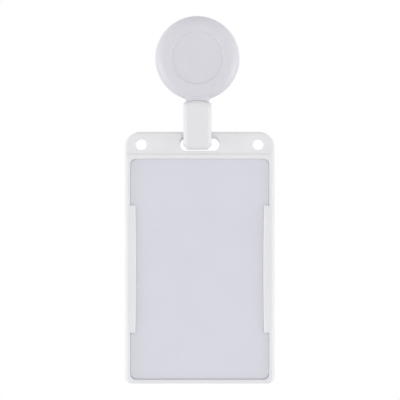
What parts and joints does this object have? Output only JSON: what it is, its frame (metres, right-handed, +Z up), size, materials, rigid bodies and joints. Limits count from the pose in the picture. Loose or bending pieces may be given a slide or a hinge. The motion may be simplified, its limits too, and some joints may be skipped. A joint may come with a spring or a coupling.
{
  "type": "retractable badge reel",
  "caption": "Retractable badge reel with a swivel clip, sprung cord spool, snap hook and a rigid open-faced card frame.",
  "frame": {"origin": "on the clip's swivel axis, at the face of the base jaw that the wearer's cloth rests on", "axes": "-Y faces the viewer, +Y goes into the cloth, +Z is up, +X is to the viewer's right"},
  "size_m": [0.0586, 0.0224, 0.1436],
  "materials": {
    "reel_plastic": "fine satin moulding",
    "label_disc": "matte film",
    "hook_plastic": "satin moulding",
    "frame_plastic": "satin moulding",
    "card": "matte laminate",
    "natural_nylon": "natural",
    "cord": "fine braid",
    "nickel_steel": "nickel plated",
    "spring_steel": "tempered",
    "crimp_brass": "turned"
  },
  "bodies": {
    "clip": {"clip_base_jaw": "nickel_steel", "clip_pin": "nickel_steel", "clip_spring": "spring_steel", "swivel_rivet": "nickel_steel", "swivel_washer": "natural_nylon"},
    "lever": {"clip_lever_jaw": "nickel_steel"},
    "reel": {"front_cover": "reel_plastic", "rear_cover": "reel_plastic", "face_label": "label_disc", "mainspring": "spring_steel", "cord_lead": "cord"},
    "spool": {"spool": "natural_nylon", "cord_winding": "cord"},
    "cord_end": {"cord_ferrule": "crimp_brass"},
    "hook": {"hook_body": "hook_plastic", "gate_pin": "nickel_steel", "gate_spring": "spring_steel"},
    "gate": {"hook_gate": "hook_plastic"},
    "holder": {"holder_frame": "frame_plastic", "card_blank": "card"}
  },
  "joints": [
    {"name": "jaw_open", "type": "hinge", "parent": "clip", "child": "lever", "pos_m": [0, 0.0051, 0.003], "axis": [1, 0, 0], "range_deg": [0, 30], "stiffness_Nm_per_rad": 0.05, "springref_deg": -34.38, "deforming": ["clip_spring"]},
    {"name": "reel_swivel", "type": "hinge", "parent": "clip", "child": "reel", "pos_m": [0, 0, 0], "axis": [0, 1, 0], "continuous": true},
    {"name": "spool_spin", "type": "hinge", "parent": "reel", "child": "spool", "pos_m": [0, -0.0068, 0], "axis": [0, 1, 0], "continuous": true, "deforming": ["mainspring"]},
    {"name": "cord_pull", "type": "slide", "parent": "reel", "child": "cord_end", "axis": [0, 0, -1], "range_m": [0, 0.6], "stiffness_N_per_m": 0.6, "springref_m": -1},
    {"name": "hook_swivel", "type": "hinge", "parent": "cord_end", "child": "hook", "pos_m": [0, -0.0068, -0.0185], "axis": [0, 0, 1], "continuous": true},
    {"name": "gate_open", "type": "hinge", "parent": "hook", "child": "gate", "pos_m": [0, -0.0034, -0.0206], "axis": [-1, 0, 0], "range_deg": [0, 35], "stiffness_Nm_per_rad": 0.01, "springref_deg": -28.65, "deforming": ["gate_spring"]},
    {"name": "holder_swing", "type": "hinge", "parent": "hook", "child": "holder", "pos_m": [0.0009, -0.0068, -0.03135], "axis": [1, 0, 0], "range_deg": [-18, 18]}
  ],
  "couplings": [
    {"joint": "spool_spin", "follows": "cord_pull", "rad_per_m": 83.3}
  ]
}
